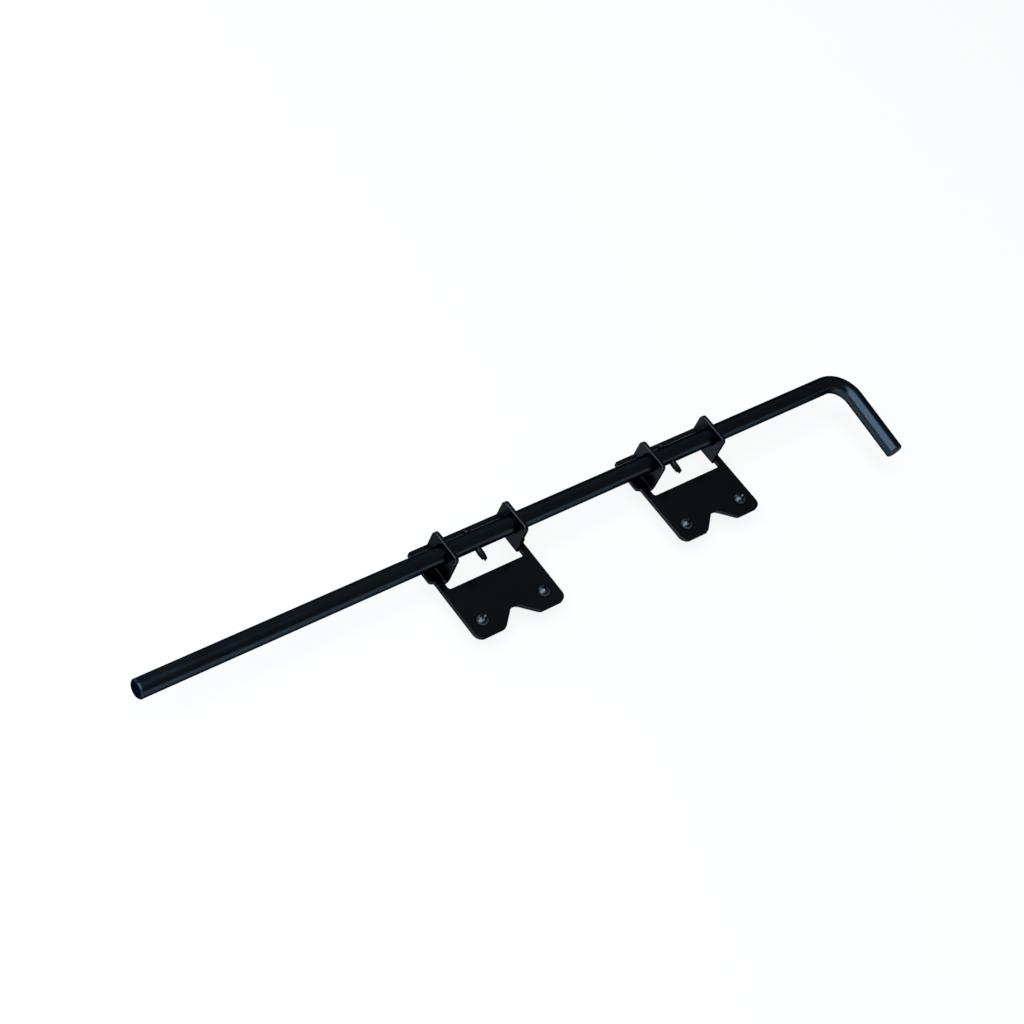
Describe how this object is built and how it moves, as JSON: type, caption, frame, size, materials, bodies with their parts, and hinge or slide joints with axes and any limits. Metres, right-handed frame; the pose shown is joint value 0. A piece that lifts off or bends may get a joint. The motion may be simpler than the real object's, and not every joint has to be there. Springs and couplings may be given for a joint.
{
  "type": "slide bolt",
  "caption": "Gate slide bolt: a round rod with a bent handle slides in the folded ears of stamped screw-on brackets.",
  "frame": {"origin": "midway between the two screws of the front bracket, on the mounting plane under the brackets", "axes": "+X along the rod from its tip to its handle, +Z out of the mounting plane, so the feet and the handle point to -Y"},
  "size_m": [0.61, 0.0858, 0.04],
  "materials": {
    "coated_rod": "gloss black coating",
    "coated_sheet": "gloss black coating",
    "coated_pin": "black coating",
    "black_screw": "black coated steel"
  },
  "bodies": {
    "brackets": {"front_bracket": "coated_sheet", "rear_bracket": "coated_sheet", "front_left_screw": "black_screw", "front_right_screw": "black_screw", "rear_left_screw": "black_screw", "rear_right_screw": "black_screw"},
    "rod": {"slide_rod": "coated_rod", "front_stop_pin": "coated_pin", "rear_stop_pin": "coated_pin"}
  },
  "joints": [
    {"name": "rod_slide", "type": "slide", "parent": "brackets", "child": "rod", "axis": [1, 0, 0], "range_m": [-0.0127, 0.0302]}
  ]
}
